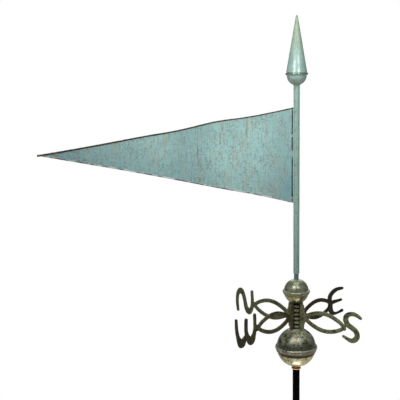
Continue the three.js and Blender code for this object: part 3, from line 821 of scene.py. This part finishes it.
def makeCasting(name, ends, firstLevel, material, node):
    s = castSizes
    pitch = s["hubHeight"] / s["levels"]
    solids = []
    for letter, heading in ends:
        turn = Matrix.Rotation(math.radians(heading), 4, "Z")
        solids.append((turn, slab(rootOutline(), s["thickness"])))
        for side in (-1, 1):
            solids.append((turn, armBar(letter, side)))
        for points in letterStrokes[letter]:
            size = s["letterHeight"]
            lift = letterLift[letter]
            sized = [(s["armEnd"] + out * size, up * size + lift, width * size)
                     for out, up, width in points]
            solids.append((turn, penBar(sized, s["thickness"], 12 * len(points))))
        low = firstLevel * pitch - s["hubHeight"] / 2
        high = low + pitch * s["levels"] / 2
        tongue = [(s["bore"], high), (s["bore"], low), (s["rootReach"], low), (s["rootReach"], high)]
        solids.append((turn, slab(tongue, s["thickness"])))
    for level in range(s["levels"] // 2):
        low = (firstLevel + level) * pitch - s["hubHeight"] / 2 + s["groove"] / 2
        high = low + pitch - s["groove"]
        outline = [(s["bore"], low), (s["ringReach"], low), (s["ringReach"], high), (s["bore"], high)]
        solids.append((Matrix.Identity(4), turned(easeCorners(outline, s["ringEase"]), s["ringSides"])))
    verts = []
    faces = []
    centre = Vector((0, 0, s["middle"]))
    for turn, (points, sides) in solids:
        first = len(verts)
        verts += [turn @ Vector(point) + centre for point in points]
        faces += [[first + corner for corner in face] for face in sides]
    rough = makePiece(name + "Rough", verts, faces)
    melt = rough.modifiers.new("melt", "REMESH")
    melt.mode = "VOXEL"
    melt.voxel_size = s["voxel"] * mm
    soften = rough.modifiers.new("soften", "SMOOTH")
    soften.factor = 0.5
    soften.iterations = 5
    bpy.context.view_layer.update()
    mesh = bpy.data.meshes.new_from_object(rough.evaluated_get(bpy.context.evaluated_depsgraph_get()))
    bpy.data.objects.remove(rough)
    mesh.name = name
    mesh.shade_smooth()
    casting = bpy.data.objects.new(name, mesh)
    bpy.context.scene.collection.objects.link(casting)
    handWork(casting, 0.25, 130, firstLevel, s["swell"])
    fitPiece(casting, "base", "cast_bronze", material, node)


# Vane

vaneHeading = 130.0
tubeSizes = {"radius": 7.95, "bore": 6.75, "base": 416.2, "top": 949.7, "cap": 4.0, "sides": 56}


def makeTube():
    s = tubeSizes
    outline = [(s["bore"] + 0.3, s["base"]), (s["radius"] - 0.9, s["base"]), (s["radius"], s["base"] + 1.1)]
    rows = 60
    for row in range(1, rows):
        outline.append((s["radius"], s["base"] + (s["top"] - s["base"]) * row / rows))
    outline += [(s["radius"], s["top"]), (0, s["top"]), (0, s["top"] - s["cap"]),
                (s["bore"], s["top"] - s["cap"]), (s["bore"], s["base"] + 0.6)]
    tube = spin("vaneTube", outline, s["sides"])
    handWork(tube, 0.18, 22, 1.3)
    fitPiece(tube, "vane", "verdigris_copper", rodMaterial(), "vane_tube")


pennantSizes = {
    "start": 8.25, "length": 686.0, "hoist": 249.0, "tipHeight": 127.1, "low": 607.2, "hollow": 3.2,
    "peak": 212.0, "peakRise": 1.6, "peakHollow": 3.0,
    "sheet": 1.3, "wave": 3.0, "buckles": 2.6, "ease": 0.25,
    "topBends": [(0.445, 0.09, -2.6), (0.255, 0.05, 1.4)], "lowBends": [(0.14, 0.09, 2.0)],
    "columns": 220, "rows": 72, "topHem": 1.9, "topGrowth": 0.5, "lowHem": 2.1, "hoistSeam": (2.2, 2.0),
}


def bow(start, end, share, depth):
    # Height on a shallow curve between two heights
    return start + (end - start) * share + 4 * depth * share * (1 - share)


def pennantEdges(share):
    # Heights of the lower and the upper edge at a share of the length from the tube
    s = pennantSizes
    tip = s["low"] + s["tipHeight"]
    top = s["low"] + s["hoist"]
    peakShare = s["peak"] / s["length"]
    peak = top - (top - tip) * peakShare + s["peakRise"]
    low = bow(s["low"], tip, share, s["hollow"])
    if share < peakShare:
        high = bow(top, peak, share / peakShare, -s["peakHollow"])
    else:
        high = bow(peak, tip, (share - peakShare) / (1 - peakShare), -s["peakHollow"])
    for place, reach, depth in s["topBends"]:
        high += depth * math.exp(-((share - place) / reach) ** 2)
    for place, reach, depth in s["lowBends"]:
        low += depth * math.exp(-((share - place) / reach) ** 2)
    return low, high


def buckle(share, height):
    # How far the sheet stands out of its plane
    s = pennantSizes
    wide = s["wave"] * math.sin(s["buckles"] * math.pi * share) * min(1, share / s["ease"])
    at = Vector((share * 9, 0, height * 0.012))
    return wide + 0.9 * noise.noise(at) * min(1, share * 12)


def pennantPoint(share, height, out):
    s = pennantSizes
    turn = math.radians(vaneHeading)
    along = s["start"] + s["length"] * share
    east = along * math.cos(turn) - out * math.sin(turn)
    north = along * math.sin(turn) + out * math.cos(turn)
    return (east, north, height)


def makePennant():
    s = pennantSizes
    verts = []
    for out in (-s["sheet"] / 2, s["sheet"] / 2):
        for column in range(s["columns"] + 1):
            share = column / s["columns"]
            low, high = pennantEdges(share)
            for row in range(s["rows"] + 1):
                height = low + (high - low) * row / s["rows"]
                verts.append(pennantPoint(share, height, buckle(share, height) + out))
    stride = s["rows"] + 1
    back = (s["columns"] + 1) * stride
    faces = []
    for column in range(s["columns"]):
        for row in range(s["rows"]):
            a = column * stride + row
            faces.append([a, a + stride, a + stride + 1, a + 1])
            faces.append([back + a, back + a + 1, back + a + stride + 1, back + a + stride])
        a = column * stride
        faces.append([a, back + a, back + a + stride, a + stride])
        a += s["rows"]
        faces.append([a, a + stride, back + a + stride, back + a])
    for row in range(s["rows"]):
        faces.append([row, row + 1, back + row + 1, back + row])
        a = s["columns"] * stride + row
        faces.append([a, back + a, back + a + 1, a + 1])
    sheet = makePiece("pennantSheet", verts, faces, 60)
    fitPiece(sheet, "vane", "verdigris_copper", sheetMaterial(), "pennant")


def makeHem(name, line, radii, finish, growth=0.0, sides=14):
    # A rolled edge along a line of (share, height), bulging on both faces of the sheet
    verts = []
    for i, (share, height) in enumerate(line):
        before = line[max(i - 1, 0)]
        after = line[min(i + 1, len(line) - 1)]
        run = Vector(((after[0] - before[0]) * pennantSizes["length"], after[1] - before[1])).normalized()
        middle = buckle(share, height)
        wobble = 0.9 + growth * share + 0.16 * noise.noise(Vector((share * 60, height * 0.05, 4.0)))
        for k in range(sides):
            angle = math.tau * k / sides
            out = radii[0] * wobble * math.cos(angle)
            up = radii[1] * wobble * math.sin(angle)
            along = share - run.y * up / pennantSizes["length"]
            verts.append(pennantPoint(along, height + run.x * up, middle + out))
    faces = [face[::-1] for face in capTube(len(line), sides)]
    hem = makePiece(name, verts, faces, 60)
    fitPiece(hem, "vane", "verdigris_copper", edgeMaterial(finish))


def makeHems():
    s = pennantSizes
    shares = [i / 160 for i in range(161)]
    top = [(share, pennantEdges(share)[1] - 1.0) for share in shares]
    low = [(share, pennantEdges(share)[0] + 1.2) for share in shares]
    makeHem("pennantTopHem", top, (s["topHem"], s["topHem"]), "darkTopHem", s["topGrowth"])
    makeHem("pennantLowHem", low, (s["lowHem"], s["lowHem"]), "brokenLowHem")
    hoist = [(0.0042, s["low"] + 3 + (s["hoist"] - 6) * i / 60) for i in range(61)]
    makeHem("pennantHoistSeam", hoist, s["hoistSeam"], "hoistSeam")


spireSizes = {
    "bowlRadius": 25.6, "bowlRim": 938.7, "hole": 8.25, "rimRadius": 29.1, "rimHeight": 7.4,
    "coneHeight": 144.8, "coneRadius": 27.0, "tip": 2.1, "wall": 1.5, "sides": 112,
    # The last two: the share of grime and painted shade on the faces that look down
    "bowlGrimeAndShade": 0.5, "coneGrimeAndShade": 0.12,
}


def makeSpire():
    s = spireSizes
    rim = s["bowlRim"] - touchGap
    inner = s["bowlRadius"] - sheetWall
    outerAngle = math.degrees(math.acos(s["hole"] / s["bowlRadius"]))
    innerAngle = math.degrees(math.acos(s["hole"] / inner))
    neck = rim - s["bowlRadius"] * math.sin(math.radians(outerAngle))
    outline = [(s["hole"], neck - 0.9), (s["hole"] + 0.9, neck - 0.9), (s["hole"] + 1.3, neck - 0.1)]
    outline += arcPoints(s["bowlRadius"], rim, -outerAngle + 4, 0, 26)
    outline += arcPoints(inner, rim, 0, -innerAngle, 12)
    bowl = spin("spireBowl", outline, s["sides"])
    handWork(bowl, 0.25, 40, 5.0)
    fitPiece(bowl, "vane", "verdigris_copper", spireMaterial("verdigrisBowl", s["bowlGrimeAndShade"]), "spire_bowl")

    base = s["bowlRim"] + s["rimHeight"]
    slope = (s["coneRadius"] - s["tip"]) / s["coneHeight"]
    seat = s["bowlRadius"] - sheetWall
    half = s["rimHeight"] / 2
    outline = [(seat, s["bowlRim"])]
    for step in range(13):
        angle = math.radians(-90 + 180 * step / 12)
        outline.append((s["rimRadius"] - half * 0.9 + half * 0.9 * math.cos(angle),
                        s["bowlRim"] + half * 0.92 + half * 0.92 * math.sin(angle)))
    rows = 48
    for row in range(rows + 1):
        height = s["coneHeight"] * 0.975 * row / rows
        outline.append((s["coneRadius"] - slope * height, base + height))
    crown = base + s["coneHeight"] - s["tip"]
    outline += arcPoints(s["tip"], crown, 20, 80, 5) + [(0, base + s["coneHeight"])]
    outline += [(0, base + s["coneHeight"] * 0.85)]
    for share in (0.8, 0.4, 0.2, 0.0):
        height = s["coneHeight"] * share
        outline.append((s["coneRadius"] - slope * height - s["wall"], base + height))
    cone = spin("spireCone", outline, s["sides"])
    handWork(cone, 0.35, 30, 9.0)
    fitPiece(cone, "vane", "verdigris_copper", spireMaterial("verdigrisCone", s["coneGrimeAndShade"]), "spire_cone")


makeMast()
makeCollar()
makeSpindle()
print("mast, collar and spindle made")
makeBall(lowerBallSizes, ballMaterial(lowerBallLook), "lower_ball_bottom", "lower_ball_top")
makeBall(upperBallSizes, ballMaterial(upperBallLook), "upper_ball_bottom", "upper_ball_top")
print("balls made")
makeCasting("compassNorthSouth", [("north", 90), ("south", 270)], 0, castMaterial(greenCastLook),
            "compass_north_south")
makeCasting("compassEastWest", [("east", 0), ("west", 180)], 3, castMaterial(darkCastLook),
            "compass_east_west")
print("castings made")
makeTube()
makePennant()
makeHems()
makeSpire()
print("vane made")


# Stage, light and camera

stageLook = {"size": 12.0, "seen": 1.0, "world": 0.07}


def makeStage():
    s = stageLook
    mesh = bpy.data.meshes.new("floor")
    half = s["size"] / 2
    corners = [(-half, -half, 0), (half, -half, 0), (half, half, 0), (-half, half, 0)]
    mesh.from_pydata(corners, [], [(0, 1, 2, 3)])
    floor = bpy.data.objects.new("floor", mesh)
    bpy.context.scene.collection.objects.link(floor)
    material = bpy.data.materials.new("paleFloor")
    material.use_nodes = True
    f = Wiring(material.node_tree)
    shader = f.tree.nodes["Principled BSDF"]
    shader.inputs["Base Color"].default_value = (0.85, 0.85, 0.85, 1)
    shader.inputs["Roughness"].default_value = 0.9
    white = f.put("ShaderNodeEmission", {"Strength": s["seen"]})
    path = f.put("ShaderNodeLightPath").outputs["Is Camera Ray"]
    both = f.put("ShaderNodeMixShader", {0: path, 1: shader.outputs[0], 2: white.outputs[0]})
    f.tree.links.new(both.outputs[0], f.tree.nodes["Material Output"].inputs["Surface"])
    mesh.materials.append(material)

    world = bpy.data.worlds.new("studio")
    bpy.context.scene.world = world
    world.use_nodes = True
    w = Wiring(world.node_tree)
    lift = w.times(w.put("ShaderNodeLightPath").outputs["Is Camera Ray"], s["seen"] - s["world"])
    back = w.tree.nodes["Background"]
    back.inputs["Color"].default_value = (1, 1, 1, 1)
    w.tree.links.new(w.add(lift, s["world"]), back.inputs["Strength"])


# Bearing round from the camera and rise in degrees, reach and sides in metres, power in watts
lamps = {
    "keyRight": {"bearing": -23, "rise": 45, "reach": 1.16, "sides": (0.26, 0.22), "power": 3.3},
    "keyLeft": {"bearing": 27, "rise": 45, "reach": 1.16, "sides": (0.26, 0.22), "power": 2.4},
    "frontFill": {"bearing": 30, "rise": 46, "reach": 4.0, "sides": (3.0, 2.4), "power": 60},
    "backFill": {"bearing": 180, "rise": 30, "reach": 4.0, "sides": (3.0, 2.4), "power": 42},
    "overhead": {"bearing": 0, "rise": 86, "reach": 1.9, "sides": (1.2, 1.2), "power": 12},
    "floorGlow": {"bearing": 0, "rise": -86.7, "reach": 0.4425, "sides": (0.1, 0.1), "power": 0.07},
}
cameraView = {
    "lens": 76.58, "sensor": 36.0, "place": (-1.7038, -1.4297, 0.9532), "heading": 46.543, "tilt": 8.621,
    "roll": -0.879, "aim": (0, 0, 0.45), "from": 220,
}


def makeLamps():
    aim = Vector(cameraView["aim"])
    for name, lamp in lamps.items():
        data = bpy.data.lights.new(name, "AREA")
        data.shape = "RECTANGLE"
        data.size, data.size_y = lamp["sides"]
        data.energy = lamp["power"]
        light = bpy.data.objects.new(name, data)
        bpy.context.scene.collection.objects.link(light)
        bearing = math.radians(cameraView["from"] - lamp["bearing"])
        rise = math.radians(lamp["rise"])
        away = Vector((math.cos(bearing) * math.cos(rise), math.sin(bearing) * math.cos(rise),
                       math.sin(rise)))
        light.location = aim + away * lamp["reach"]
        light.rotation_mode = "QUATERNION"
        light.rotation_quaternion = (-away).to_track_quat("-Z", "Y")
        light.visible_camera = False


def makeCamera():
    s = cameraView
    heading, tilt, roll = (math.radians(s[key]) for key in ("heading", "tilt", "roll"))
    level = Vector((math.cos(heading), math.sin(heading), 0))
    right = Vector((math.sin(heading), -math.cos(heading), 0))
    forward = level * math.cos(tilt) - Vector((0, 0, 1)) * math.sin(tilt)
    up = level * math.sin(tilt) + Vector((0, 0, 1)) * math.cos(tilt)
    sideways = right * math.cos(roll) + up * math.sin(roll)
    upward = up * math.cos(roll) - right * math.sin(roll)
    data = bpy.data.cameras.new("photoView")
    data.sensor_width = s["sensor"]
    data.lens = s["lens"]
    camera = bpy.data.objects.new("photoView", data)
    bpy.context.scene.collection.objects.link(camera)
    turn = Matrix((sideways, upward, -forward)).transposed().to_4x4()
    camera.matrix_world = Matrix.Translation(s["place"]) @ turn
    bpy.context.scene.camera = camera


makeStage()
makeLamps()
makeCamera()
bpy.context.scene.view_settings.view_transform = "Standard"
print("stage, lamps and camera made")
